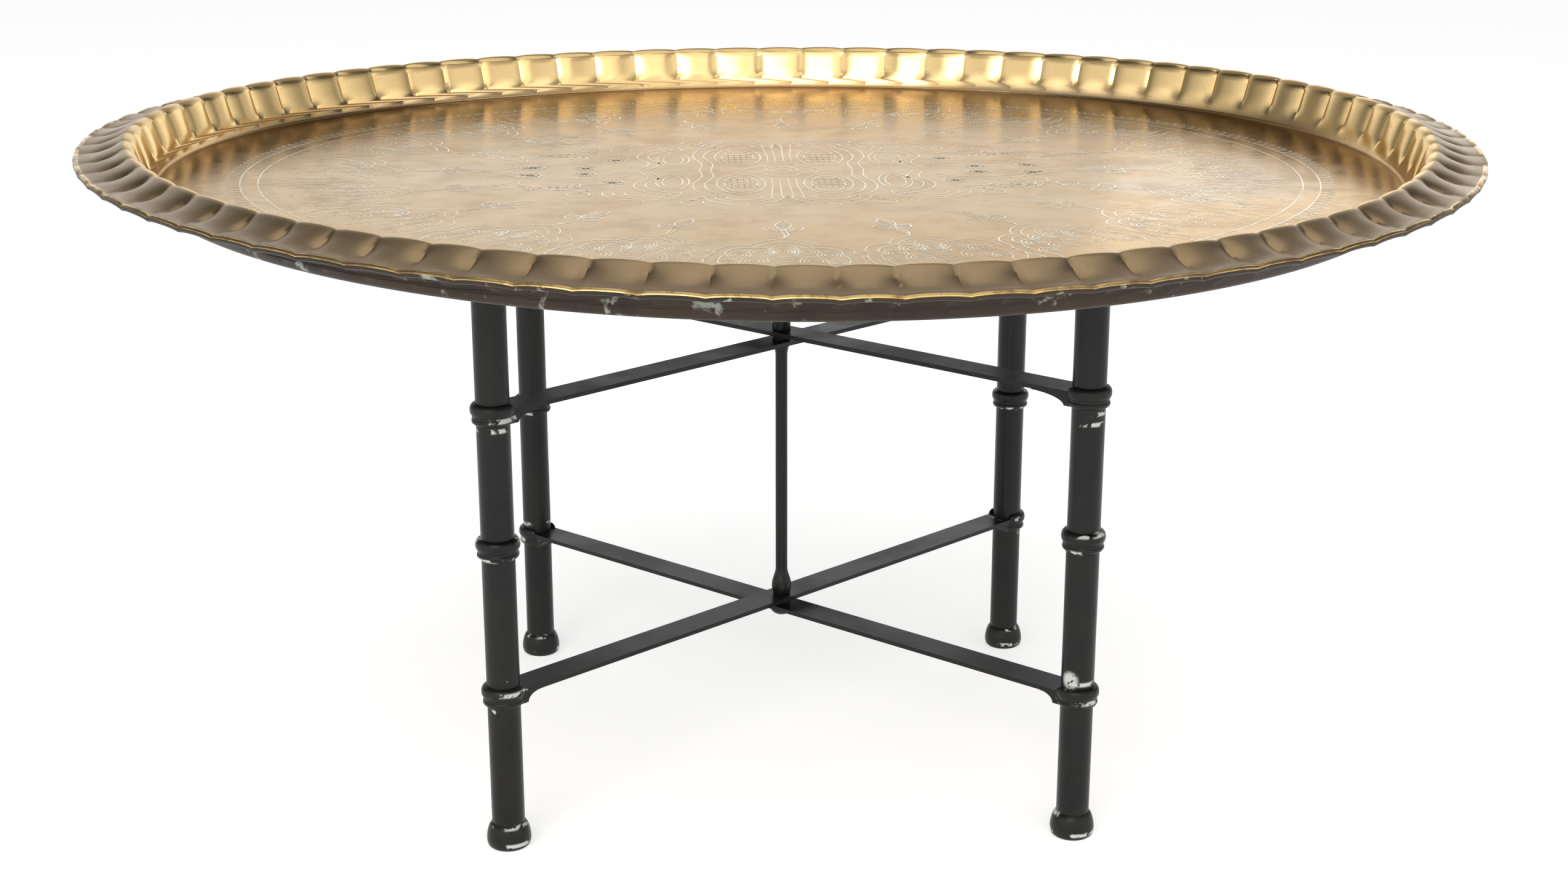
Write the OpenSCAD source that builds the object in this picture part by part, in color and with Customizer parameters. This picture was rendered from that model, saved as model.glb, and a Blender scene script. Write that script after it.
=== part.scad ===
// Brass tray table: a loose round tray on a stand whose two frames cross as an X and fold about one rod.
// The origin is on the floor under the middle of the stand, with +Z up and the front towards -Y.

/* [Tray] */
// Radius of the flat floor of the tray, out to the foot of its wall
floor_r = 488; // [440:1:510]
// Height of the floor's upper face above the ground
floor_z = 492.5; // [460:0.5:500]
// Height of the crest above the tray's floor
wall_h = 38; // [36:0.5:44]
// How far the wall leans outward, in degrees from upright
wall_lean = 18; // [12:1:26]
// Bending radius of the crest, at the middle of the sheet
crest_r = 6.5; // [5:0.5:9]
// How far the brim reaches out past the crest's bend
brim_w = 30; // [24:0.5:40]
// Slope of the brim where it leaves the crest, in degrees
brim_slope = 32; // [20:1:36]
// Thickness of the brass sheet
sheet_t = 1.5; // [1:0.1:2.5]
// Radius of the roll at the edge
roll_r = 2.4; // [2:0.1:3]
// Radius of the steel wire inside the roll
wire_r = 1.2; // [0.8:0.1:1.4]

/* [Legs] */
// Distance between left and right leg centres
stand_w = 440; // [380:1:520]
// Distance between front and back leg centres
stand_d = 400; // [380:1:520]
// Outside diameter of the leg tubes
tube_d = 25.4; // [22:0.1:28]
// Wall of the leg tubes
tube_wall = 1.8; // [1.2:0.1:3]
// Diameter of the beads round the legs
bead_d = 33.8; // [31:0.1:36]
// Height of a pair of beads
bead_h = 16; // [14:0.5:18]
// Height of the middle of the trim beads
middle_bead_z = 244; // [220:1:260]
// Diameter of the flared feet
foot_d = 34.4; // [32:0.1:38]
// Height of the flared feet
foot_h = 20; // [16:0.5:24]
// Thickness of the rims of the plugs that the tray rests on
plug_t = 3; // [2:0.5:5]

/* [Bars] */
// Width of the flat bars
bar_w = 26; // [22:0.5:30]
// Thickness of the flat bars
bar_t = 3.5; // [3:0.1:5]
// Height of the upper face of the lower bar of frame B
lower_z = 122; // [100:1:140]
// Height of the upper face of the upper bar of frame A
upper_z = 352.5; // [320:0.5:370]
// Gap between two bars where they cross
bar_gap = 4.5; // [3:0.1:6]
// How far the upper lugs reach out under their bars, from the middle of the leg
upper_lug = 44; // [26:1:60]
// How far the lower lugs reach out under their bars, from the middle of the leg
lower_lug = 27; // [24:1:44]

/* [Pivot] */
// Diameter of the pivot rod
rod_d = 10; // [8:0.1:12]
// Largest diameter of the bulb at the rod's lower end
bulb_d = 16.5; // [14:0.1:20]
// Height of the bulb
bulb_h = 23; // [18:0.5:28]
// Diameter of the flare under the upper crossing
flare_d = 15; // [13:0.1:18]
// Height of the flare
flare_h = 11; // [8:0.5:16]
// Diameter of the sleeve above the upper crossing
sleeve_d = 15; // [13:0.1:18]
// Height of the sleeve
sleeve_h = 10; // [8:0.5:12]
// Diameter of the domed head below the lower crossing
dome_d = 19; // [16:0.1:22]
// Height of the domed head
dome_h = 7.5; // [5:0.1:9]
// Radial clearance of the rod in the turning bars
rod_clearance = 0.05; // [0.03:0.01:0.1]
// Clearance between the faces that turn on each other
face_clearance = 0.2; // [0.1:0.05:0.4]

/* [Hidden] */
$fn = 64;
tube_r = tube_d / 2;
bead_r = bead_d / 2;
foot_r = foot_d / 2;
rod_r = rod_d / 2;
diagonal = sqrt(stand_w * stand_w + stand_d * stand_d);
frame_angle = atan2(stand_d, stand_w);
bar_pitch = bar_t + bar_gap;
lower_a_z = lower_z + bar_pitch;
upper_b_z = upper_z + bar_pitch;
// The middle of a collar lies this far below the upper face of its bar
collar_drop = 4;
// The tray stands this far clear of the plugs, so that the solids don't share a face
rest_gap = 0.02;
plug_z = floor_z - sheet_t - plug_t - rest_gap;
tube_bottom = 3;
sleeve_z = upper_b_z + face_clearance;
dome_z = lower_z - bar_t - face_clearance;
// Bending radius at the foot of the tray's wall
foot_bend = 4;

// Points on an arc about c, from angle a0 to a1
function arc(c, r, a0, a1, n) = [for (i = [0:n]) let (a = a0 + (a1 - a0) * i / n) c + r * [cos(a), sin(a)]];

// Middle of the sheet: the corner at the foot of the wall, the crest's centre, the brim's centre
foot_pt = [floor_r, floor_z - sheet_t / 2];
crest_top = floor_z + wall_h - sheet_t / 2;
lean_dir = [sin(wall_lean), cos(wall_lean)];
crest_start_z = crest_top - crest_r + crest_r * sin(wall_lean);
wall_len = (crest_start_z - foot_pt.y) / lean_dir.y;
crest_c = foot_pt + wall_len * lean_dir + crest_r * [cos(wall_lean), -sin(wall_lean)];
crest_end = crest_c + crest_r * [sin(brim_slope), cos(brim_slope)];
brim_r = brim_w / sin(brim_slope);
brim_c = crest_end + brim_r * [sin(brim_slope), cos(brim_slope)];
roll_c = brim_c + [wire_r + 0.3, -brim_r - 0.46 * roll_r];

// One face of the sheet, off by s from its middle: -1 is the inner face, 1 the outer face
function sheet_face(s) = let (h = s * sheet_t / 2) concat(
    arc(foot_pt + foot_bend * [-tan(45 - wall_lean / 2), 1], foot_bend + h, -90, -wall_lean, 5),
    arc(crest_c, crest_r - h, 180 - wall_lean, 90 - brim_slope, 12),
    arc(brim_c, brim_r + h, 270 - brim_slope, 270, 10));

// The points in reverse order, without the last one, which lies inside the roll
function way_back(p) = [for (i = [len(p) - 2:-1:0]) p[i]];

// Puts its children at one leg, turned so that +X points at the pivot rod.
// Frame A runs from front left to back right, and frame B from back left to front right.
module at_leg(side, front) {
    turn = atan2(-front * stand_d, -side * stand_w);
    translate([side * stand_w / 2, front * stand_d / 2, 0])
        rotate([0, 0, turn])
            children();
}

module leg_tube() {
    color("darkslategray")
        translate([0, 0, tube_bottom])
            difference() {
                cylinder(h = plug_z - tube_bottom, r = tube_r);
                translate([0, 0, -1])
                    cylinder(h = plug_z - tube_bottom + 2, r = tube_r - tube_wall);
            }
}

// A large bead above a small one, round the tube, about z = 0
module bead_pair() {
    big_h = 0.62 * bead_h;
    small_h = bead_h - big_h;
    proud = bead_r - tube_r;
    rotate_extrude()
        polygon(concat(
            [[tube_r, -bead_h / 2]],
            [for (i = [1:7]) [tube_r + 0.78 * proud * sin(18 * i),
                -bead_h / 2 + small_h * (1 - cos(18 * i)) / 2]],
            [for (i = [2:11]) [tube_r + proud * pow(sin(15 * i), 0.7),
                -bead_h / 2 + small_h + big_h * (1 - cos(15 * i)) / 2]],
            [[tube_r, bead_h / 2]]));
}

module middle_ring() {
    color("darkslategray")
        translate([0, 0, middle_bead_z])
            bead_pair();
}

// A bead pair with a lug under the bar that is welded to it; the bar's upper face is at z
module collar(z, reach) {
    rise = bead_h / 2 + collar_drop - bar_t;
    color("darkslategray")
        translate([0, 0, z - collar_drop])
            difference() {
                union() {
                    bead_pair();
                    translate([0, bar_w * 0.44, collar_drop - bar_t])
                        rotate([90, 0, 0])
                            linear_extrude(bar_w * 0.88)
                                polygon(concat([[0, 0], [0, -rise], [bead_r - 2, -rise]],
                                    [for (i = [1:8]) [reach - (reach - bead_r + 2) * cos(i * 90 / 8),
                                        -rise + (rise - 1) * sin(i * 90 / 8)]],
                                    [[reach, 0]]));
                }
                translate([0, 0, -bead_h])
                    cylinder(h = 2 * bead_h, r = tube_r);
                translate([0, -bar_w / 2, collar_drop - bar_t])
                    cube([reach + 1, bar_w, bar_t + bead_h]);
            }
}

// A cast foot with a socket for the end of the tube
module foot() {
    swell = foot_r - tube_r;
    color("darkslategray")
        rotate_extrude()
            polygon(concat(
                [[0, 0], [foot_r - 2.6, 0], [foot_r - 0.9, 1.6], [foot_r - 0.2, 4]],
                [for (i = [0:8]) [tube_r + swell * pow(cos(i * 10), 0.6), 6 + (foot_h - 6) * i / 9]],
                [[tube_r + 0.3, foot_h], [tube_r, foot_h], [tube_r, tube_bottom], [0, tube_bottom]]));
}

// A plug that closes the tube; the tray rests on its rim
module top_plug() {
    color("dimgray")
        rotate_extrude()
            polygon([[0, plug_z - 10], [tube_r - tube_wall - 1, plug_z - 10], [tube_r - tube_wall, plug_z - 8],
                [tube_r - tube_wall, plug_z], [tube_r, plug_z], [tube_r, plug_z + plug_t - 1],
                [tube_r - 1, plug_z + plug_t], [0, plug_z + plug_t]]);
}

// A flat bar between two legs, with its upper face at z and a hole of radius hole_r for the rod
module bar(z, turn, hole_r) {
    length = diagonal - tube_r;
    color("darkslategray")
        rotate([0, 0, turn])
            difference() {
                translate([-length / 2, -bar_w / 2, z - bar_t])
                    cube([length, bar_w, bar_t]);
                for (s = [-1, 1])
                    translate([s * diagonal / 2, 0, z - 2 * bar_t])
                        cylinder(h = 3 * bar_t, r = tube_r);
                translate([0, 0, z - 2 * bar_t])
                    cylinder(h = 3 * bar_t, r = hole_r);
            }
}

// The rod passes through all four bars; its bulb and flare sit between the two bars of frame A
module pivot_rod() {
    bulb_r = bulb_d / 2;
    flare_r = flare_d / 2;
    flare_top = upper_z - bar_t;
    color("darkslategray")
        rotate_extrude()
            polygon(concat(
                [[0, dome_z - 4], [rod_r, dome_z - 4], [rod_r, lower_a_z], [bulb_r * 0.72, lower_a_z]],
                [for (i = [0:5]) [bulb_r * (0.86 + 0.14 * sin(i * 18)), lower_a_z + 0.3 + bulb_h * 0.06 * i]],
                [for (i = [1:6]) [rod_r + (bulb_r - rod_r) * (1 + cos(i * 30)) / 2,
                    lower_a_z + bulb_h * (0.34 + 0.11 * i)]],
                [for (i = [0:7]) [rod_r + (flare_r - rod_r) * pow(i / 7, 2), flare_top - flare_h * (1 - i / 7)]],
                [[rod_r, flare_top], [rod_r, sleeve_z + sleeve_h - 2], [0, sleeve_z + sleeve_h - 2]]));
}

module ring(z, h, outer_r, inner_r) {
    color("darkslategray")
        translate([0, 0, z])
            difference() {
                cylinder(h = h, r = outer_r);
                translate([0, 0, -1])
                    cylinder(h = h + 2, r = inner_r);
            }
}

// The sleeve is fixed on the rod's upper end and keeps frame B from lifting
module top_sleeve() {
    color("darkslategray")
        rotate_extrude()
            polygon([[rod_r, sleeve_z], [sleeve_d / 2, sleeve_z], [sleeve_d / 2, sleeve_z + sleeve_h - 1],
                [sleeve_d / 2 - 1, sleeve_z + sleeve_h], [rod_r, sleeve_z + sleeve_h]]);
}

// The dome is fixed on the rod's lower end and carries frame B's lower bar
module rivet_head() {
    color("darkslategray")
        rotate_extrude()
            polygon(concat(
                [[0, dome_z - 4], [rod_r, dome_z - 4], [rod_r, dome_z], [dome_d / 2, dome_z]],
                [for (i = [0:9]) [dome_d / 2 * cos(i * 10), dome_z - 1 - (dome_h - 1) * sin(i * 10)]]));
}

module tray() {
    color("goldenrod")
        rotate_extrude()
            difference() {
                polygon(concat([[0, floor_z]], sheet_face(-1), arc(roll_c, roll_r, 120, -186, 30),
                    way_back(sheet_face(1)), [[0, floor_z - sheet_t]]));
                translate(roll_c)
                    circle(r = wire_r);
            }
}

module edge_wire() {
    color("gray")
        rotate_extrude()
            translate(roll_c)
                circle(r = wire_r);
}

tray();
edge_wire();
at_leg(-1, -1) leg_tube();  // leg_tube_fl
at_leg(1, 1) leg_tube();  // leg_tube_br
at_leg(-1, 1) leg_tube();  // leg_tube_bl
at_leg(1, -1) leg_tube();  // leg_tube_fr
at_leg(-1, -1) collar(upper_z, upper_lug);  // upper_collar_fl
at_leg(1, 1) collar(upper_z, upper_lug);  // upper_collar_br
at_leg(-1, 1) collar(upper_b_z, upper_lug);  // upper_collar_bl
at_leg(1, -1) collar(upper_b_z, upper_lug);  // upper_collar_fr
at_leg(-1, -1) middle_ring();  // middle_ring_fl
at_leg(1, 1) middle_ring();  // middle_ring_br
at_leg(-1, 1) middle_ring();  // middle_ring_bl
at_leg(1, -1) middle_ring();  // middle_ring_fr
at_leg(-1, -1) collar(lower_a_z, lower_lug);  // lower_collar_fl
at_leg(1, 1) collar(lower_a_z, lower_lug);  // lower_collar_br
at_leg(-1, 1) collar(lower_z, lower_lug);  // lower_collar_bl
at_leg(1, -1) collar(lower_z, lower_lug);  // lower_collar_fr
at_leg(-1, -1) foot();  // foot_fl
at_leg(1, 1) foot();  // foot_br
at_leg(-1, 1) foot();  // foot_bl
at_leg(1, -1) foot();  // foot_fr
at_leg(-1, -1) top_plug();  // top_plug_fl
at_leg(1, 1) top_plug();  // top_plug_br
at_leg(-1, 1) top_plug();  // top_plug_bl
at_leg(1, -1) top_plug();  // top_plug_fr
bar(upper_z, frame_angle, rod_r);  // upper_bar_a
bar(lower_a_z, frame_angle, rod_r);  // lower_bar_a
bar(upper_b_z, -frame_angle, rod_r + rod_clearance);  // upper_bar_b
bar(lower_z, -frame_angle, rod_r + rod_clearance);  // lower_bar_b
pivot_rod();
ring(upper_z, bar_gap - face_clearance, sleeve_d / 2, rod_r);  // upper_spacer
ring(lower_z + face_clearance, bar_gap - face_clearance, sleeve_d / 2, rod_r);  // lower_spacer
top_sleeve();
rivet_head();
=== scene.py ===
import bpy
import math
import random
from mathutils import Matrix, Vector


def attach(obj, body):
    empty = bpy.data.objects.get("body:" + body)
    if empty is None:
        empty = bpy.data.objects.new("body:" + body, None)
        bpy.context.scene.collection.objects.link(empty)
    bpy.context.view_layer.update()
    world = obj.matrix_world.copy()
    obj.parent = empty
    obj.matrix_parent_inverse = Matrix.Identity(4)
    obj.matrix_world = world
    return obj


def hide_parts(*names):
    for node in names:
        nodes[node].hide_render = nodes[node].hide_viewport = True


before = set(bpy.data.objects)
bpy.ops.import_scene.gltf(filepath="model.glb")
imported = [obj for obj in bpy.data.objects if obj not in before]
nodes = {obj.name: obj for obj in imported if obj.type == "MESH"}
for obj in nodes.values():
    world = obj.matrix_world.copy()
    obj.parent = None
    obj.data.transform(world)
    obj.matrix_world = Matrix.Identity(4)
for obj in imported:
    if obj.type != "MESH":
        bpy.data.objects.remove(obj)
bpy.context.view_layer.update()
print("frame loaded:", len(nodes), "nodes")


def clearSelection():
    if bpy.context.object and bpy.context.object.mode != "OBJECT":
        bpy.ops.object.mode_set(mode="OBJECT")
    bpy.ops.object.select_all(action="DESELECT")


def smoothStep(low, high, value):
    t = min(1.0, max(0.0, (value - low) / (high - low)))
    return t * t * (3 - 2 * t)


def arcPoints(centre, radius, startAngle, endAngle, steps):
    # points on an arc in the r, z plane, angles in degrees
    points = []
    for i in range(steps + 1):
        a = math.radians(startAngle + (endAngle - startAngle) * i / steps)
        points.append((centre[0] + radius * math.cos(a), centre[1] + radius * math.sin(a)))
    return points


# the tray is one sheet of brass
tray = {
    "floorRadius": 0.488,
    "floorHeight": 0.4925,
    "wallHeight": 0.038,
    "wallLean": 18.0,          # degrees outward from upright
    "footBend": 0.004,
    "crestRadius": 0.0065,
    "brimWidth": 0.030,
    "brimSlope": 32.0,         # degrees, where the brim leaves the crest
    "sheet": 0.0015,           # its thickness
    "rollRadius": 0.0024,
    "wireRadius": 0.0012,
    "flutes": 82,
    "pointsPerFlute": 14,
    "wallBulge": 0.0034,
    "crestBulge": 0.0009,
    "brimBulge": 0.0036,
    "edgeBulge": 0.0012,
    "flutePhase": 0.35,
    "seed": 7,
}


def trayProfile():
    # rings as (r, z, bulge, bulgeDirection r, bulgeDirection z, materialIndex)
    t = tray
    half = t["sheet"] / 2
    lean = math.radians(t["wallLean"])
    slope = math.radians(t["brimSlope"])
    foot = (t["floorRadius"], t["floorHeight"] - half)
    crestTop = t["floorHeight"] + t["wallHeight"] - half
    startZ = crestTop - t["crestRadius"] + t["crestRadius"] * math.sin(lean)
    wallLength = (startZ - foot[1]) / math.cos(lean)
    crest = (foot[0] + wallLength * math.sin(lean) + t["crestRadius"] * math.cos(lean),
             foot[1] + wallLength * math.cos(lean) - t["crestRadius"] * math.sin(lean))
    crestEnd = (crest[0] + t["crestRadius"] * math.sin(slope),
                crest[1] + t["crestRadius"] * math.cos(slope))
    brimRadius = t["brimWidth"] / math.sin(slope)
    brim = (crestEnd[0] + brimRadius * math.sin(slope), crestEnd[1] + brimRadius * math.cos(slope))
    roll = (brim[0] + t["wireRadius"] + 0.0003, brim[1] - brimRadius - 0.46 * t["rollRadius"])
    bend = math.radians(45 - t["wallLean"] / 2)
    footCentre = (foot[0] - t["footBend"] * math.tan(bend), foot[1] + t["footBend"])
    rings = []

    def face(side):
        # side -1 is the upper, inner face; 1 is the under, outer face
        h = side * half
        points = []
        for r, z in arcPoints(footCentre, t["footBend"] + h, -90, -t["wallLean"], 4):
            points.append((r, z, 0.0, -math.cos(lean), math.sin(lean)))
        last = points[-1]
        first = arcPoints(crest, t["crestRadius"] - h, 180 - t["wallLean"], 90 - t["brimSlope"], 6)
        for i in range(1, 9):
            f = i / 9
            grow = smoothStep(0.12, 0.42, f)
            points.append((last[0] + (first[0][0] - last[0]) * f, last[1] + (first[0][1] - last[1]) * f,
                           t["wallBulge"] * grow, -math.cos(lean), math.sin(lean)))
        for i, (r, z) in enumerate(first):
            a = math.radians(180 - t["wallLean"] + (90 - t["brimSlope"] - 180 + t["wallLean"]) * i / 6)
            mix = i / 6
            size = (t["wallBulge"] * (1 - mix) ** 2 + t["crestBulge"] * 2 * mix * (1 - mix)
                    + t["brimBulge"] * 0.38 * mix ** 2)
            points.append((r, z, size, math.cos(a), math.sin(a)))
        for i in range(1, 9):
            f = i / 8
            a = math.radians(270 - t["brimSlope"] * (1 - f))
            r = brim[0] + (brimRadius + h) * math.cos(a)
            z = brim[1] + (brimRadius + h) * math.sin(a)
            size = t["brimBulge"] * (0.38 + 0.62 * math.sin(math.pi * min(1, f * 1.3)))
            size += (t["edgeBulge"] - size) * smoothStep(0.45, 1.0, f)
            points.append((r, z, size, -math.cos(a), -math.sin(a)))
        return points

    upper, under = face(-1), face(1)
    for r in (0.06, 0.14, 0.22, 0.30, 0.35, 0.40, 0.44, 0.47):
        rings.append((r, t["floorHeight"], 0.0, 0.0, 1.0, 0))
    for i, p in enumerate(upper):
        onBrim = p[0] > crest[0] + 0.001
        rings.append((*p, 1 if i == len(upper) - 1 else 3 if onBrim else 0))
    for i, (r, z) in enumerate(arcPoints(roll, t["rollRadius"], 112, -150, 11)):
        # only its top is rubbed bright; the rest of the roll takes the underside's painted shade
        rings.append((r, z, t["edgeBulge"], 0.0, 1.0, 1 if i < 4 else 2))
    for p in reversed(under[:-1]):
        rings.append((*p, 2))
    for r in (0.44, 0.38, 0.30, 0.20, 0.08):
        rings.append((r, t["floorHeight"] - t["sheet"], 0.0, 0.0, 1.0, 2))
    return rings


def rimWarp(x, y):
    # a hand-raised tray isn't quite flat: the rim lifts at the sides and dips at the front
    r = math.hypot(x, y)
    grow = smoothStep(0.27, 0.50, r)
    return grow * (-0.003 * x + 0.008 * y + 0.015 * x * y + 0.0165 * (x * x - y * y))


def fluteShape(phase):
    # 1 at the middle of a lobe, 0 at the sharp crease
    u = abs(phase) * 2
    return (1 - u ** 2.3) ** 0.85


def makeTray():
    t = tray
    rings = trayProfile()
    count = t["flutes"] * t["pointsPerFlute"]
    clearSelection()
    bpy.ops.mesh.primitive_circle_add(vertices=count, radius=rings[0][0], fill_type="NGON",
                                      location=(0, 0, rings[0][1]))
    piece = bpy.context.object
    piece.name = "tray_sheet"
    bpy.ops.object.transform_apply(location=True, rotation=True, scale=True)
    bpy.ops.object.mode_set(mode="EDIT")
    bpy.ops.mesh.select_mode(type="FACE")
    bpy.ops.mesh.select_all(action="SELECT")
    bpy.ops.mesh.poke()
    bpy.ops.mesh.select_mode(type="EDGE")
    bpy.ops.mesh.select_all(action="SELECT")
    bpy.ops.mesh.region_to_loop()
    for before, after in zip(rings, rings[1:]):
        scale = after[0] / before[0]
        bpy.ops.mesh.extrude_edges_move(TRANSFORM_OT_translate={"value": (0, 0, after[1] - before[1])})
        bpy.ops.transform.resize(value=(scale, scale, 1), center_override=(0, 0, 0))
    bpy.ops.mesh.edge_face_add()
    bpy.ops.mesh.poke()
    bpy.ops.mesh.select_all(action="SELECT")
    bpy.ops.mesh.normals_make_consistent(inside=False)
    bpy.ops.object.mode_set(mode="OBJECT")
    # the flutes are hammered by hand, so no two are the same
    rng = random.Random(t["seed"])
    widths = [1 + rng.uniform(-0.05, 0.05) + 0.09 * math.sin(2 * math.pi * i / t["flutes"])
              for i in range(t["flutes"])]
    depths = [1 + rng.uniform(-0.18, 0.18) for _ in range(t["flutes"])]
    total = sum(widths)
    starts = [sum(widths[:i]) / total for i in range(t["flutes"] + 1)]
    lookup = {}
    for ring in rings:
        lookup[(round(ring[0], 6), round(ring[1], 6))] = ring
    for vertex in piece.data.vertices:
        x, y, z = vertex.co
        r = math.hypot(x, y)
        ring = lookup.get((round(r, 6), round(z, 6)))
        if ring is None:
            ring = min(rings, key=lambda k: (k[0] - r) ** 2 + (k[1] - z) ** 2)
        if ring[2] > 0:
            turn = (math.atan2(y, x) / (2 * math.pi) + t["flutePhase"] / t["flutes"]) % 1.0
            step = round(turn * count) % count
            flute, inner = divmod(step, t["pointsPerFlute"])
            phase = inner / t["pointsPerFlute"] - 0.5
            angle = 2 * math.pi * (starts[flute] + (starts[flute + 1] - starts[flute]) * (phase + 0.5)
                                   - t["flutePhase"] / t["flutes"])
            bulge = ring[2] * (fluteShape(phase) - 0.72) * (1 + (depths[flute] - 1) * fluteShape(phase))
            r += bulge * ring[3]
            z += bulge * ring[4]
            x, y = r * math.cos(angle), r * math.sin(angle)
        vertex.co = (x, y, z + rimWarp(x, y))
    return piece, rings


traySheet, trayRings = makeTray()
print("tray sheet:", len(traySheet.data.vertices), "vertices", len(traySheet.data.polygons), "faces")

engraving = {
    "lineWidth": 0.00120,      # outlines
    "fineWidth": 0.00080,      # filling inside the medallions
    "outlines": 12,            # how many of a medallion's lines are outlines
    "lift": 0.00010,           # above the floor, so that the lines show
    "depthRatio": 0.92,        # the pattern is a little shorter front to back
    "centreShift": -0.005,
    "ringInner": 0.4105,
    "ringOuter": 0.4240,
    "fringeOuter": 0.4350,
    "fringeLoops": 256,
    "medallions": 20,
    "firstAngle": -92.0,
    "tipRadius": 0.300,
    "seed": 11,
}


def patternPoint(radius, degrees):
    # a place in the pattern, by its radius at the sides and its direction
    a = math.radians(degrees)
    ratio = engraving["depthRatio"]
    r = radius * ratio / math.hypot(ratio * math.cos(a), math.sin(a))
    return r * math.cos(a), r * math.sin(a) + engraving["centreShift"]


def floorLift(x, y):
    # the height of the sheet's own facets, which run straight between its rings
    r = max(1e-6, math.hypot(x, y))
    radii = [0.0] + [ring[0] for ring in trayRings if ring[0] < 0.486][:9]
    for inner, outer in zip(radii, radii[1:]):
        if r <= outer:
            f = (r - inner) / (outer - inner)
            return ((1 - f) * rimWarp(x / r * inner, y / r * inner)
                    + f * rimWarp(x / r * outer, y / r * outer))
    return rimWarp(x, y)


def curve(points, steps=5):
    # a smooth line through the points
    out = []
    ends = [points[0]] + list(points) + [points[-1]]
    for a, b, c, d in zip(ends, ends[1:], ends[2:], ends[3:]):
        for i in range(steps):
            t = i / steps
            out.append(tuple(0.5 * (2 * b[k] + (c[k] - a[k]) * t
                                    + (2 * a[k] - 5 * b[k] + 4 * c[k] - d[k]) * t * t
                                    + (3 * b[k] - a[k] - 3 * c[k] + d[k]) * t ** 3) for k in (0, 1)))
    return out + [tuple(points[-1])]


def loop(x, y, wide, deep, steps=18, start=0.0, sweep=360.0):
    return [(x + wide * math.cos(math.radians(start + sweep * i / steps)),
             y + deep * math.sin(math.radians(start + sweep * i / steps))) for i in range(steps + 1)]


def leafLines(x, y, degrees, length, width, hatches):
    # a pointed leaf with short hatching, from its foot
    a = math.radians(degrees)
    along, across = (math.cos(a), math.sin(a)), (-math.sin(a), math.cos(a))

    def at(u, v):
        return (x + along[0] * u * length + across[0] * v * width,
                y + along[1] * u * length + across[1] * v * width)

    lines = [curve([at(0, 0), at(0.3, 0.42), at(0.62, 0.46), at(1, 0)]),
             curve([at(0, 0), at(0.3, -0.42), at(0.62, -0.46), at(1, 0)])]
    for i in range(hatches):
        u = 0.25 + 0.55 * i / max(1, hatches - 1)
        lines.append([at(u - 0.08, 0.05), at(u + 0.06, 0.36)])
        lines.append([at(u - 0.08, -0.05), at(u + 0.06, -0.36)])
    return lines


def medallionLines():
    # one medallion: across is -1 to 1 over its share of the ring, out is 0 at its tip and 1 at the ring
    half = [(0.0, 0.0), (0.17, 0.035), (0.35, 0.10), (0.47, 0.18), (0.50, 0.235)]
    shoulder = [(0.50, 0.235), (0.67, 0.235), (0.84, 0.29), (0.94, 0.39), (0.92, 0.48)]
    flank = [(0.92, 0.48), (0.98, 0.58), (0.97, 0.74), (0.86, 0.86), (0.84, 1.0)]
    lines = []
    for side in (-1, 1):
        for part in (half, shoulder, flank):
            whole = curve([(side * u, v) for u, v in part])
            lines.append(whole)
            lines.append([(u * 0.82, 0.60 + (v - 0.60) * 0.84) for u, v in whole if v < 0.97])
        for u, v, size in ((0.30, 0.42, 0.17), (0.58, 0.52, 0.15), (0.36, 0.68, 0.17), (0.66, 0.74, 0.12)):
            for ring in (1.0, 0.68, 0.36):
                lines.append([(side * (u + size * ring * math.cos(math.radians(w))),
                               v - size * 0.8 * ring * math.sin(math.radians(w)))
                              for w in range(-20, 201, 20)])
        for i in range(9):
            u = side * (0.10 + 0.078 * i)
            lines.append([(u, 0.90), (u, 0.985)])
    for ring in (1.0, 0.78, 0.56, 0.34):
        lines.append([(0.20 * ring * math.cos(math.radians(w)),
                       0.40 - 0.22 * ring * math.sin(math.radians(w)))
                      for w in range(-40, 221, 20)])
    for i in range(5):
        v = 0.52 + 0.07 * i
        lines.append([(-0.15 + 0.02 * i, v), (0.0, v + 0.03), (0.15 - 0.02 * i, v)])
    return lines


def palmetteLines():
    # stem and three leaves, in metres from the tip towards the middle of the tray
    lines = [curve([(0, 0), (0.0008, 0.012), (-0.0012, 0.024), (-0.0006, 0.036)]),
             curve([(0.001, 0.004), (0.004, 0.014), (0.0025, 0.026), (0.0, 0.036)])]
    lines += leafLines(0, 0.034, 90, 0.034, 0.015, 6)
    lines += leafLines(0, 0.028, 35, 0.022, 0.013, 5)
    lines += leafLines(0, 0.028, 145, 0.022, 0.013, 5)
    return lines


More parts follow.
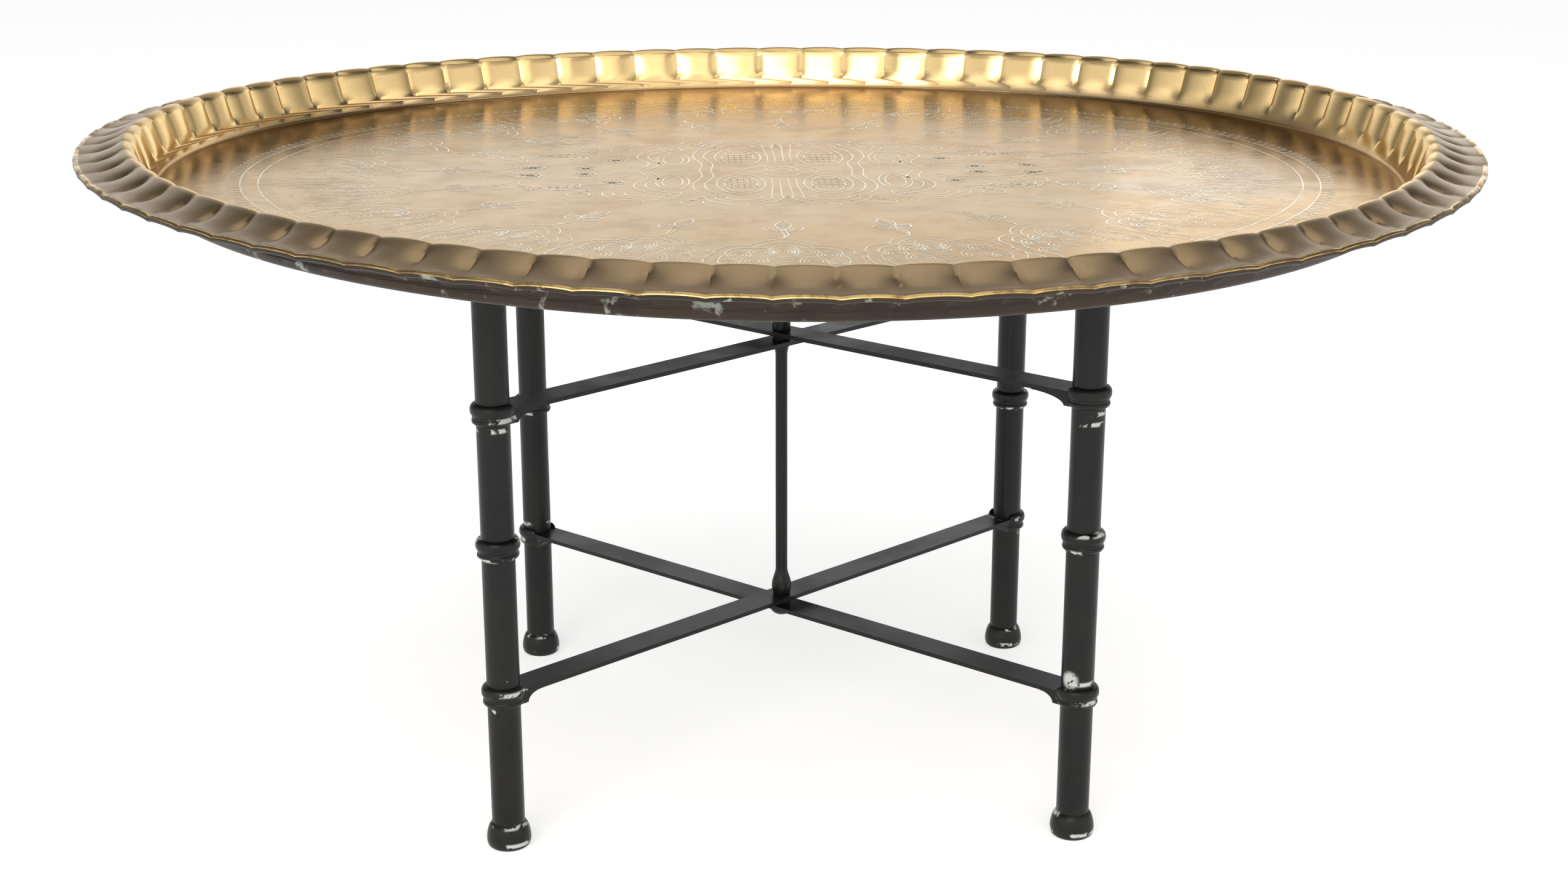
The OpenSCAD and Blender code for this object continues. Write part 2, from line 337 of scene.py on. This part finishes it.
def centreLines():
    # one quarter of the middle figure in millimetres, mirrored to the other three
    quarter = [loop(0, 0, 8, 8, 9, 0, 90), loop(0, 0, 13, 13, 9, 0, 90)]
    quarter.append(curve([(0, 30), (10, 26), (15, 15), (26, 10), (32, 0)]))
    for x in (3.5, 9.5):
        quarter.append([(x, 34), (x, 70), (x * 1.3, 118)])
    quarter += [curve([(57, 0), (55, 30), (62, 62), (58, 92), (44, 112)]),
                curve([(66, 0), (64, 30), (71, 64), (67, 96), (50, 118)])]
    quarter += [loop(34, 62, 19, 42, 26), loop(34, 62, 13, 34, 24)]
    quarter += [curve([(105, 6), (98, 34), (108, 62), (100, 88), (80, 104)]),
                curve([(114, 6), (107, 34), (117, 64), (108, 94), (84, 112)])]
    quarter += [loop(87, 52, 13, 34, 24), loop(87, 52, 8, 26, 22)]
    quarter += [curve([(120, 20), (142, 34), (168, 34), (196, 22), (218, 4)]),
                curve([(122, 30), (144, 43), (170, 43), (200, 30), (226, 8)])]
    quarter += [curve([(128, 70), (150, 76), (178, 70), (200, 84)]),
                curve([(130, 79), (152, 86), (180, 80), (204, 62), (206, 46)])]
    for x, y, size in ((220, 67, 8.5), (158, 103, 8.5), (72, 138, 8.5)):
        quarter += [loop(x, y, size, size * 1.1), curve([(x, y - size), (x - 9, y - 20), (x - 26, y - 24)])]
    for x, y, size in ((110, 100, 30), (33, 118, 30), (180, 62, 22)):
        for ring in (1.0, 0.72, 0.44):
            quarter.append(loop(x, y, size * ring, size * ring * 0.95, 16, -10, 200))
        for i in range(18):
            w = math.radians(-6 + 11 * i)
            quarter.append([(x + size * 1.04 * math.cos(w), y + size * math.sin(w)),
                            (x + size * 1.22 * math.cos(w), y + size * 1.18 * math.sin(w))])
    for x, y in ((200, 17), (157, 13), (134, 52)):
        for i in range(5):
            w = math.radians(72 * i + 18)
            quarter.append(loop(x + 6 * math.cos(w), y + 6 * math.sin(w), 4.2, 4.2, 9))
        quarter.append(loop(x, y, 2.4, 2.4, 8))
    for row in range(4):
        for i in range(5):
            quarter.append(loop(24 + 5 * i, 40 + 11 * row, 2.6, 3.6, 6, 0, 180))
    return quarter


def makeEngraving():
    g = engraving
    lines = []
    widths = {}                # of the lines that aren't at the full width
    for radius in (g["ringInner"], g["ringOuter"]):
        lines.append([patternPoint(radius, 360 * i / 360) for i in range(361)])
    pitch = 360 / g["fringeLoops"]
    reach = g["fringeOuter"] - g["ringOuter"]
    for i in range(g["fringeLoops"]):
        lines.append([patternPoint(g["ringOuter"] + reach * math.sin(math.radians(w)),
                                   pitch * (i - 0.40 * math.cos(math.radians(w))))
                      for w in range(0, 181, 30)])
    rng = random.Random(g["seed"])
    share = 180 / g["medallions"]
    depth = g["ringInner"] - g["tipRadius"]
    for k in range(g["medallions"]):
        middle = g["firstAngle"] + 2 * share * k + rng.uniform(-0.35, 0.35)
        stretch = 1 + rng.uniform(-0.04, 0.04)             # cut by hand, so each one differs
        for i, line in enumerate(medallionLines()):
            widths[len(lines)] = g["fineWidth"] if i >= g["outlines"] else g["lineWidth"]
            lines.append([patternPoint(g["ringInner"] - depth * stretch * (1 - v),
                                       middle + share * u) for u, v in line])
        tip = g["ringInner"] - depth * stretch
        for line in palmetteLines():
            lines.append([patternPoint(tip - v, middle + math.degrees(u / tip)) for u, v in line])
    for line in centreLines():
        for sideX in (-1, 1):
            for sideY in (-1, 1):
                lines.append([(sideX * x / 1000, sideY * y / 1000 + g["centreShift"]) for x, y in line])
    corners, faces = [], []
    for number, line in enumerate(lines):
        halfWidth = widths.get(number, g["lineWidth"]) / 2
        for i, (x, y) in enumerate(line):
            before, after = line[max(0, i - 1)], line[min(len(line) - 1, i + 1)]
            dx, dy = after[0] - before[0], after[1] - before[1]
            size = math.hypot(dx, dy) or 1.0
            taper = 0.6 if i in (0, len(line) - 1) else 1.0     # the graver lifts at both ends
            nx, ny = -dy / size * halfWidth * taper, dx / size * halfWidth * taper
            for px, py in ((x + nx, y + ny), (x - nx, y - ny)):
                corners.append((px, py, tray["floorHeight"] + g["lift"] + floorLift(px, py)))
            if i:
                n = len(corners)
                faces.append((n - 4, n - 3, n - 1, n - 2))
    mesh = bpy.data.meshes.new("tray_engraving")
    mesh.from_pydata(corners, [], faces)
    mesh.update()
    piece = bpy.data.objects.new("tray_engraving", mesh)
    bpy.context.scene.collection.objects.link(piece)
    for polygon in mesh.polygons:
        if polygon.normal.z < 0:
            polygon.flip()
    return piece


engravedLines = makeEngraving()
print("engraving:", len(engravedLines.data.polygons), "faces in its strokes")


def newMaterial(name):
    material = bpy.data.materials.new(name)
    material.use_nodes = True
    tree = material.node_tree
    tree.nodes.clear()
    out = tree.nodes.new("ShaderNodeOutputMaterial")
    shader = tree.nodes.new("ShaderNodeBsdfPrincipled")
    tree.links.new(shader.outputs["BSDF"], out.inputs["Surface"])
    return material, tree, shader


def addNode(tree, kind, inputs=None, **settings):
    node = tree.nodes.new(kind)
    for key, value in settings.items():
        setattr(node, key, value)
    for key, value in (inputs or {}).items():
        socket = node.inputs[key]
        if isinstance(value, bpy.types.NodeSocket):
            tree.links.new(value, socket)
        else:
            socket.default_value = value
    return node


def noiseValue(tree, vector, scale, detail=4.0, rough=0.55, distortion=0.0):
    node = addNode(tree, "ShaderNodeTexNoise", {"Vector": vector, "Scale": scale, "Detail": detail,
                                                "Roughness": rough, "Distortion": distortion})
    return node.outputs["Fac"]


def rangeValue(tree, value, low, high, toLow=0.0, toHigh=1.0):
    node = addNode(tree, "ShaderNodeMapRange",
                   {"Value": value, "From Min": low, "From Max": high, "To Min": toLow, "To Max": toHigh},
                   interpolation_type="SMOOTHSTEP")
    return node.outputs["Result"]


def mathValue(tree, operation, a, b=0.0, c=0.0):
    node = tree.nodes.new("ShaderNodeMath")
    node.operation = operation
    for i, value in enumerate((a, b, c)):
        if isinstance(value, bpy.types.NodeSocket):
            tree.links.new(value, node.inputs[i])
        else:
            node.inputs[i].default_value = value
    return node.outputs[0]


def mixColour(tree, factor, a, b, blend="MIX"):
    node = tree.nodes.new("ShaderNodeMix")
    node.data_type = "RGBA"
    node.blend_type = blend
    for name, value in (("Factor", factor), ("A", a), ("B", b)):
        socket = next(s for s in node.inputs if s.name == name and s.enabled)
        if isinstance(value, bpy.types.NodeSocket):
            tree.links.new(value, socket)
        else:
            socket.default_value = value if not isinstance(value, tuple) else (*value, 1.0)
    return next(s for s in node.outputs if s.enabled)


def makePatchGroup():
    # soft-edged patches, for patina, stains and chips
    group = bpy.data.node_groups.new("patchMask", "ShaderNodeTree")
    group.interface.new_socket("Vector", in_out="INPUT", socket_type="NodeSocketVector")
    for name, value in (("Scale", 10.0), ("From", 0.5), ("To", 0.6), ("Distortion", 0.3)):
        group.interface.new_socket(name, in_out="INPUT",
                                   socket_type="NodeSocketFloat").default_value = value
    group.interface.new_socket("Mask", in_out="OUTPUT", socket_type="NodeSocketFloat")
    start, end = group.nodes.new("NodeGroupInput"), group.nodes.new("NodeGroupOutput")
    noise = addNode(group, "ShaderNodeTexNoise", {"Vector": start.outputs["Vector"],
                                                  "Scale": start.outputs["Scale"],
                                                  "Detail": 6.0, "Roughness": 0.62,
                                                  "Distortion": start.outputs["Distortion"]})
    soft = addNode(group, "ShaderNodeMapRange",
                   {"Value": noise.outputs["Fac"], "From Min": start.outputs["From"],
                    "From Max": start.outputs["To"]},
                   interpolation_type="SMOOTHSTEP")
    group.links.new(soft.outputs["Result"], end.inputs["Mask"])
    return group


def makeGrainGroup():
    # fine handling marks: tiny pits and short scratches, as one height
    group = bpy.data.node_groups.new("handlingMarks", "ShaderNodeTree")
    group.interface.new_socket("Vector", in_out="INPUT", socket_type="NodeSocketVector")
    for name, value in (("Pit Scale", 150.0), ("Scratch Scale", 60.0)):
        group.interface.new_socket(name, in_out="INPUT",
                                   socket_type="NodeSocketFloat").default_value = value
    for name in ("Pits", "Scratches", "Height"):
        group.interface.new_socket(name, in_out="OUTPUT", socket_type="NodeSocketFloat")
    start, end = group.nodes.new("NodeGroupInput"), group.nodes.new("NodeGroupOutput")
    pitNoise = noiseValue(group, start.outputs["Vector"], start.outputs["Pit Scale"], 3.0, 0.6)
    pits = rangeValue(group, pitNoise, 0.655, 0.73)
    turned = addNode(group, "ShaderNodeMapping", {"Vector": start.outputs["Vector"],
                                                  "Rotation": (0, 0, 0.7),
                                                  "Scale": (1.0, 14.0, 1.0)})
    scratchNoise = noiseValue(group, turned.outputs["Vector"], start.outputs["Scratch Scale"], 2.0, 0.5)
    scratches = rangeValue(group, scratchNoise, 0.66, 0.72)
    height = mathValue(group, "SUBTRACT", mathValue(group, "MULTIPLY", pits, -0.7),
                       mathValue(group, "MULTIPLY", scratches, 0.4))
    for name, value in (("Pits", pits), ("Scratches", scratches), ("Height", height)):
        group.links.new(value, end.inputs[name])
    return group


patchGroup, grainGroup = makePatchGroup(), makeGrainGroup()


def patch(tree, vector, scale, low, high, distortion=0.3):
    node = addNode(tree, "ShaderNodeGroup", node_tree=patchGroup)
    tree.links.new(vector, node.inputs["Vector"])
    for name, value in (("Scale", scale), ("From", low), ("To", high), ("Distortion", distortion)):
        node.inputs[name].default_value = value
    return node.outputs["Mask"]


def grain(tree, vector, pitScale, scratchScale):
    node = addNode(tree, "ShaderNodeGroup", node_tree=grainGroup)
    tree.links.new(vector, node.inputs["Vector"])
    node.inputs["Pit Scale"].default_value = pitScale
    node.inputs["Scratch Scale"].default_value = scratchScale
    return node.outputs


def nearPlace(tree, vector, place, reach):
    # 1 at a place, fading to 0 at its reach
    away = addNode(tree, "ShaderNodeVectorMath", {0: vector, 1: place}, operation="DISTANCE")
    return rangeValue(tree, away.outputs["Value"], reach * 0.45, reach, 1.0, 0.0)


brassLook = {
    "floorTan": (0.59, 0.46, 0.315),
    "floorGold": (0.58, 0.395, 0.22),
    "floorBand": (0.42, 0.26, 0.115),
    # painted light and shade: the wall's brighter gold is painted sheen, the brim's darker bronze painted
    # shade
    "wallSheenGold": (0.80, 0.575, 0.270),
    "brimShadeBronze": (0.37, 0.265, 0.150),
    # painted reflection: a pale pinkish grey laid on the floor right of the middle, where the floor mirrors
    # the sky
    "paintedReflection": (0.42, 0.37, 0.35),
    "tarnish": (0.13, 0.08, 0.05),
    "edgeTint": (0.88, 0.83, 0.73),
    # radii over which one colour gives way to the next; the wall's brighter gold is painted sheen and the
    # brim's darker bronze is painted shade
    "wallStart": (0.486, 0.492),
    "brimStart": (0.503, 0.508),
    "bandStart": (0.405, 0.480),
    "reflectionPlace": (0.315, -0.06, 0.49),
    "reflectionReach": 0.13,
    "scratchPlace": (-0.19, 0.15, 0.49),
    "scratchReach": 0.05,
}


def brassMaterial():
    look = brassLook
    material, tree, shader = newMaterial("agedBrass")
    coords = addNode(tree, "ShaderNodeTexCoord").outputs["Object"]
    split = addNode(tree, "ShaderNodeSeparateXYZ", {"Vector": coords})
    radius = mathValue(tree, "SQRT", mathValue(tree, "ADD",
                                               mathValue(tree, "POWER", split.outputs["X"], 2.0),
                                               mathValue(tree, "POWER", split.outputs["Y"], 2.0)))
    clouds = patch(tree, coords, 3.4, 0.38, 0.62, 0.5)
    mottle = noiseValue(tree, coords, 24.0, 6.0, 0.65, 0.3)
    marks = grain(tree, coords, 150.0, 34.0)
    onWall = rangeValue(tree, radius, *look["wallStart"])
    onBrim = rangeValue(tree, radius, *look["brimStart"])
    colour = mixColour(tree, clouds, look["floorGold"], look["floorTan"])
    colour = mixColour(tree, rangeValue(tree, mottle, 0.52, 0.76, 0.0, 0.30), colour, look["floorBand"])
    edgeBand = mathValue(tree, "MULTIPLY", rangeValue(tree, radius, *look["bandStart"], 0.0, 0.75),
                         rangeValue(tree, mottle, 0.2, 0.6))
    colour = mixColour(tree, edgeBand, colour, look["floorBand"])
    # painted reflection on the floor right of the middle, broken up by a patch mask
    paintedReflection = mathValue(tree, "MULTIPLY", nearPlace(tree, coords, look["reflectionPlace"], look["reflectionReach"]),
                      patch(tree, coords, 11.0, 0.40, 0.56))
    colour = mixColour(tree, mathValue(tree, "MULTIPLY", paintedReflection, 0.5), colour, look["paintedReflection"])
    rough = mathValue(tree, "MULTIPLY", nearPlace(tree, coords, look["scratchPlace"], look["scratchReach"]),
                      patch(tree, coords, 70.0, 0.48, 0.58, 1.2))
    colour = mixColour(tree, mathValue(tree, "MULTIPLY", rough, 0.55), colour, look["tarnish"])
    # painted sheen on the wall and painted shade on the brim, over the same brass
    colour = mixColour(tree, onWall, colour, look["wallSheenGold"])
    colour = mixColour(tree, onBrim, colour, look["brimShadeBronze"])
    pitDepth = mathValue(tree, "SUBTRACT", 0.36, mathValue(tree, "MULTIPLY", onWall, 0.24))
    colour = mixColour(tree, mathValue(tree, "MULTIPLY", marks["Pits"], pitDepth), colour, look["tarnish"])
    tree.links.new(colour, shader.inputs["Base Color"])
    shader.inputs["Metallic"].default_value = 1.0
    # brass seen along its surface keeps its colour
    shader.inputs["Specular Tint"].default_value = (*look["edgeTint"], 1.0)
    polish = mathValue(tree, "ADD", rangeValue(tree, mottle, 0.3, 0.7, 0.15, 0.25),
                       mathValue(tree, "MULTIPLY", onBrim, 0.15))
    tree.links.new(polish, shader.inputs["Roughness"])
    height = mathValue(tree, "ADD", mathValue(tree, "MULTIPLY", mottle, 0.5),
                       mathValue(tree, "MULTIPLY", marks["Height"], 0.3))
    bump = addNode(tree, "ShaderNodeBump", {"Height": height, "Strength": 0.07, "Distance": 0.002})
    tree.links.new(bump.outputs["Normal"], shader.inputs["Normal"])
    return material


def engravedMaterial():
    material, tree, shader = newMaterial("engravingHighlight")
    coords = addNode(tree, "ShaderNodeTexCoord").outputs["Object"]
    worn = patch(tree, coords, 13.0, 0.40, 0.66, 0.5)
    # painted highlight: the pale cream of the lines stands in for the front light their cut grooves catch;
    # the tone varies in patches
    colour = mixColour(tree, worn, (1.0, 0.95, 0.78), (0.84, 0.70, 0.49))
    tree.links.new(colour, shader.inputs["Base Color"])
    shader.inputs["Metallic"].default_value = 1.0
    tree.links.new(rangeValue(tree, noiseValue(tree, coords, 90.0), 0.3, 0.7, 0.24, 0.36),
                   shader.inputs["Roughness"])
    return material


def rollMaterial():
    material, tree, shader = newMaterial("rubbedEdge")
    coords = addNode(tree, "ShaderNodeTexCoord").outputs["Object"]
    wear = patch(tree, coords, 60.0, 0.42, 0.62)
    colour = mixColour(tree, wear, (0.66, 0.46, 0.19), (0.30, 0.19, 0.08))
    tree.links.new(colour, shader.inputs["Base Color"])
    shader.inputs["Metallic"].default_value = 1.0
    tree.links.new(rangeValue(tree, wear, 0.0, 1.0, 0.20, 0.40), shader.inputs["Roughness"])
    marks = grain(tree, coords, 260.0, 90.0)
    bump = addNode(tree, "ShaderNodeBump", {"Height": marks["Height"], "Strength": 0.25,
                                            "Distance": 0.0006})
    tree.links.new(bump.outputs["Normal"], shader.inputs["Normal"])
    return material


def underMaterial():
    material, tree, shader = newMaterial("paintedShadeUnderside")
    coords = addNode(tree, "ShaderNodeTexCoord").outputs["Object"]
    clouds = patch(tree, coords, 14.0, 0.38, 0.62, 0.5)
    spots = patch(tree, coords, 46.0, 0.60, 0.68)
    # painted shade: near-black browns for the shaded underside; the whitish spots are marks on the metal
    colour = mixColour(tree, clouds, (0.018, 0.013, 0.010), (0.044, 0.031, 0.020))
    colour = mixColour(tree, mathValue(tree, "MULTIPLY", spots, 0.85), colour, (0.34, 0.36, 0.31))
    tree.links.new(colour, shader.inputs["Base Color"])
    tree.links.new(rangeValue(tree, clouds, 0.0, 1.0, 0.15, 0.5), shader.inputs["Metallic"])
    shader.inputs["Specular IOR Level"].default_value = 0.3
    tree.links.new(rangeValue(tree, spots, 0.0, 1.0, 0.45, 0.75), shader.inputs["Roughness"])
    bump = addNode(tree, "ShaderNodeBump", {"Height": spots, "Strength": 0.3, "Distance": 0.001})
    tree.links.new(bump.outputs["Normal"], shader.inputs["Normal"])
    return material


paintLook = {
    "black": (0.0050, 0.0068, 0.0068),
    "faded": (0.0105, 0.0115, 0.0100),
    "rusty": (0.016, 0.012, 0.008),
    "primer": (0.50, 0.53, 0.49),
    # the rims of the beads and feet
    "wornHeights": (0.2510, 0.2370, 0.0190, 0.0050, 0.1300, 0.1150, 0.3450, 0.3370),
    "legPlace": (0.2200, 0.2000),
    "beadReach": (0.0175, 0.0195),         # from a leg's middle, past which nothing is chipped
    "barePatch": (0.2110, -0.2110, 0.1330),
    "bareReach": 0.009,
}


def paintMaterial():
    look = paintLook
    material, tree, shader = newMaterial("wornPaint")
    coords = addNode(tree, "ShaderNodeTexCoord").outputs["Object"]
    height = addNode(tree, "ShaderNodeSeparateXYZ", {"Vector": coords}).outputs["Z"]
    clouds = patch(tree, coords, 9.0, 0.35, 0.65)
    colour = mixColour(tree, clouds, look["black"], look["faded"])
    low = mathValue(tree, "MULTIPLY", rangeValue(tree, height, 0.02, 0.24, 0.7, 0.0),
                    patch(tree, coords, 26.0, 0.42, 0.66))
    colour = mixColour(tree, low, colour, look["rusty"])
    rims = 0.0
    for place in look["wornHeights"]:
        away = mathValue(tree, "ABSOLUTE", mathValue(tree, "SUBTRACT", height, place))
        band = rangeValue(tree, away, 0.0006, 0.0024, 1.0, 0.0)
        rims = band if isinstance(rims, float) else mathValue(tree, "MAXIMUM", rims, band)
    place = addNode(tree, "ShaderNodeSeparateXYZ", {"Vector": coords})
    offX = mathValue(tree, "SUBTRACT", mathValue(tree, "ABSOLUTE", place.outputs["X"]), look["legPlace"][0])
    offY = mathValue(tree, "SUBTRACT", mathValue(tree, "ABSOLUTE", place.outputs["Y"]), look["legPlace"][1])
    out = mathValue(tree, "SQRT", mathValue(tree, "ADD", mathValue(tree, "MULTIPLY", offX, offX),
                                            mathValue(tree, "MULTIPLY", offY, offY)))
    # beads only, not the bars
    rims = mathValue(tree, "MULTIPLY", rims, rangeValue(tree, out, *look["beadReach"], 1.0, 0.0))
    chips = mathValue(tree, "MULTIPLY", rims, patch(tree, coords, 48.0, 0.52, 0.56))
    bare = mathValue(tree, "MULTIPLY", nearPlace(tree, coords, look["barePatch"], look["bareReach"]),
                     patch(tree, coords, 95.0, 0.44, 0.48))
    tiny = mathValue(tree, "MULTIPLY", patch(tree, coords, 210.0, 0.735, 0.76), 0.8)
    worn = mathValue(tree, "MAXIMUM", mathValue(tree, "MAXIMUM", chips, bare), tiny)
    colour = mixColour(tree, worn, colour, look["primer"])
    tree.links.new(colour, shader.inputs["Base Color"])
    dullness = mathValue(tree, "ADD", rangeValue(tree, clouds, 0.0, 1.0, 0.27, 0.40),
                         mathValue(tree, "MULTIPLY", worn, 0.3))
    tree.links.new(dullness, shader.inputs["Roughness"])
    shader.inputs["Specular IOR Level"].default_value = 0.22
    marks = grain(tree, coords, 420.0, 120.0)
    dents = mathValue(tree, "SUBTRACT", mathValue(tree, "MULTIPLY", marks["Height"], 0.4),
                      mathValue(tree, "MULTIPLY", worn, 0.5))
    bump = addNode(tree, "ShaderNodeBump", {"Height": dents, "Strength": 0.3, "Distance": 0.0006})
    tree.links.new(bump.outputs["Normal"], shader.inputs["Normal"])
    return material


def plugMaterial():
    material, tree, shader = newMaterial("plugPlastic")
    coords = addNode(tree, "ShaderNodeTexCoord").outputs["Object"]
    scuffs = patch(tree, coords, 180.0, 0.5, 0.68)
    tree.links.new(mixColour(tree, scuffs, (0.012, 0.012, 0.013), (0.040, 0.040, 0.042)),
                   shader.inputs["Base Color"])
    tree.links.new(rangeValue(tree, scuffs, 0.0, 1.0, 0.45, 0.62), shader.inputs["Roughness"])
    bump = addNode(tree, "ShaderNodeBump", {"Height": scuffs, "Strength": 0.15, "Distance": 0.0004})
    tree.links.new(bump.outputs["Normal"], shader.inputs["Normal"])
    return material


brass, rubbedEdge, underside, paint = brassMaterial(), rollMaterial(), underMaterial(), paintMaterial()
engravingHighlight, plugPlastic = engravedMaterial(), plugMaterial()
brimBrass = brass.copy()                   # the same finish, but the brim mirrors more at a low angle
brimBrass.name = "brimBrass"
for node in brimBrass.node_tree.nodes:
    if node.bl_idname == "ShaderNodeBsdfPrincipled":
        node.inputs["Specular Tint"].default_value = (1.0, 1.0, 1.0, 1.0)
engravedLines.data.materials.append(engravingHighlight)
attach(engravedLines, "tray")
for material in (brass, rubbedEdge, underside, brimBrass):
    traySheet.data.materials.append(material)


def paintRings(piece, rings):
    # the material of a face is that of the ring its outer side lies on
    finishes = [ring[5] for ring in rings]
    count = tray["flutes"] * tray["pointsPerFlute"]
    order = {}
    for vertex in piece.data.vertices:
        order[vertex.index] = max(0, (vertex.index - count) // count) if vertex.index > count else 0
    for polygon in piece.data.polygons:
        ring = max(order[i] for i in polygon.vertices)
        polygon.material_index = finishes[min(len(finishes) - 1, ring)]
        polygon.use_smooth = True


paintRings(traySheet, trayRings)
clearSelection()
traySheet.select_set(True)
bpy.context.view_layer.objects.active = traySheet
bpy.ops.object.shade_smooth_by_angle(angle=math.radians(40))
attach(traySheet, "tray")
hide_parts("tray", "edge_wire")

for name, node in nodes.items():
    if name not in ("tray", "edge_wire"):
        node.data.materials.clear()
        node.data.materials.append(plugPlastic if name.startswith("top_plug") else paint)
print("materials done")

stage = {
    "floorSize": 30.0,
    "floorGlow": 0.54,
    # place and level all round, from the front at -1 past the sides at 0 to the back at 1
    "glow": ((-1.0, 1.15), (-0.8, 1.40), (-0.6, 1.80), (-0.17, 1.37), (0.14, 0.84),
             (0.50, 0.24), (0.70, 0.26), (0.82, 0.70), (0.90, 1.05), (1.0, 1.05)),
    # height and level, between the two ends
    "sky": ((0.27, 1.06), (0.50, 0.36)),
    "skyLow": (1.14, 1.14, 1.15, 1),
    "skyHigh": (0.15, 0.15, 0.155, 1),
}
clearSelection()
bpy.ops.mesh.primitive_plane_add(size=stage["floorSize"], location=(0, 0, 0))
floor = bpy.context.object
floor.name = "studio_floor"
floorMaterial, floorTree, floorShader = newMaterial("paleFloor")
floorShader.inputs["Base Color"].default_value = (0.95, 0.95, 0.95, 1)
floorShader.inputs["Emission Color"].default_value = (1, 1, 1, 1)
floorShader.inputs["Emission Strength"].default_value = stage["floorGlow"]
floorShader.inputs["Roughness"].default_value = 0.9
floor.data.materials.append(floorMaterial)


def makeWorld():
    world = bpy.data.worlds.new("softStudio")
    bpy.context.scene.world = world
    world.use_nodes = True
    tree = world.node_tree
    tree.nodes.clear()
    coords = addNode(tree, "ShaderNodeTexCoord").outputs["Generated"]
    aim = addNode(tree, "ShaderNodeSeparateXYZ", {"Vector": coords})
    x, y = aim.outputs["X"], aim.outputs["Y"]
    across = mathValue(tree, "SQRT", mathValue(tree, "ADD", mathValue(tree, "MULTIPLY", x, x),
                                               mathValue(tree, "MULTIPLY", y, y)))
    toBack = mathValue(tree, "DIVIDE", y, mathValue(tree, "MAXIMUM", across, 0.001))
    glow = addNode(tree, "ShaderNodeValToRGB",
                   {"Fac": mathValue(tree, "ADD", mathValue(tree, "MULTIPLY", toBack, 0.5), 0.5)})
    (firstPlace, firstLevel), (lastPlace, lastLevel) = stage["glow"][0], stage["glow"][-1]
    glow.color_ramp.elements[0].color = (firstLevel, firstLevel, firstLevel, 1)
    glow.color_ramp.elements[1].color = (lastLevel, lastLevel, lastLevel, 1)
    for place, level in stage["glow"][1:-1]:
        glow.color_ramp.elements.new((place + 1) / 2).color = (level, level, level, 1)
    ramp = addNode(tree, "ShaderNodeValToRGB", {"Fac": aim.outputs["Z"]})
    ramp.color_ramp.elements[0].position = 0.0
    ramp.color_ramp.elements[0].color = stage["skyLow"]
    ramp.color_ramp.elements[1].position = 1.0
    ramp.color_ramp.elements[1].color = stage["skyHigh"]
    for place, level in stage["sky"]:
        ramp.color_ramp.elements.new(place).color = (level, level, level, 1)
    light = addNode(tree, "ShaderNodeBackground", {"Color": ramp.outputs["Color"],
                                                   "Strength": glow.outputs["Color"]})
    white = addNode(tree, "ShaderNodeBackground", {"Color": (1, 1, 1, 1), "Strength": 1.0})
    path = addNode(tree, "ShaderNodeLightPath")
    mix = addNode(tree, "ShaderNodeMixShader", {0: path.outputs["Is Camera Ray"], 1: light.outputs[0],
                                                2: white.outputs[0]})
    out = tree.nodes.new("ShaderNodeOutputWorld")
    tree.links.new(mix.outputs[0], out.inputs["Surface"])


makeWorld()


def addSoftLight(name, place, target, size, power, colour):
    bpy.ops.object.light_add(type="AREA", location=place)
    light = bpy.context.object
    light.name = name
    light.data.shape = "RECTANGLE"
    light.data.size, light.data.size_y = size
    light.data.energy = power
    light.data.color = colour
    light.rotation_euler = (Vector(target) - Vector(place)).to_track_quat("-Z", "Y").to_euler()


clearSelection()
addSoftLight("front_key", (-1.2, -4.2, 2.4), (0, 0, 0.45), (3.5, 1.8), 66, (1.0, 0.95, 0.86))
addSoftLight("top_soft", (0.3, 0.4, 3.6), (0, 0, 0.45), (3.0, 3.0), 24, (1.0, 0.98, 0.95))
addSoftLight("front_high", (0.0, -3.3, 3.6), (0, 0.2, 0.5), (5.5, 3.2), 62, (1.0, 0.94, 0.85))
addSoftLight("right_low", (2.0, 3.0, 1.15), (0.3, 0, 0.5), (2.4, 1.4), 4.5, (1.0, 0.99, 0.97))

view = {
    "distance": 1.79113,
    "height": 0.798763,
    "side": 0.00498516,
    "pitch": 0.294534,
    "turn": 0.0431615,
    "roll": 0.000421081,
    "focal": 3643.81,
    "centre": (1279.54, 733.27),
    "frame": (2548, 1456),
    "sensor": 36,
}


def makeCamera():
    bpy.ops.object.camera_add()
    camera = bpy.context.object
    camera.name = "view_camera"
    pitch, roll = view["pitch"], view["roll"]
    forward = Vector((0, math.cos(pitch), -math.sin(pitch)))
    right = Vector((1, 0, 0))
    up = right.cross(forward)
    tiltedRight = math.cos(roll) * right + math.sin(roll) * up
    tiltedUp = -math.sin(roll) * right + math.cos(roll) * up
    axes = Matrix((tiltedRight, tiltedUp, -forward)).transposed().to_4x4()
    back = Matrix.Rotation(-view["turn"], 4, "Z")
    place = Vector((view["side"], -view["distance"], view["height"]))
    camera.matrix_world = back @ Matrix.Translation(place) @ axes
    camera.data.sensor_width = view["sensor"]
    camera.data.lens = view["focal"] / view["frame"][0] * view["sensor"]
    camera.data.shift_x = (view["frame"][0] / 2 - view["centre"][0]) / view["frame"][0]
    camera.data.shift_y = (view["centre"][1] - view["frame"][1] / 2) / view["frame"][0]
    camera.data.clip_end = 200
    bpy.context.scene.camera = camera


makeCamera()
bpy.context.scene.view_settings.view_transform = "Standard"
print("stage, light and camera done")
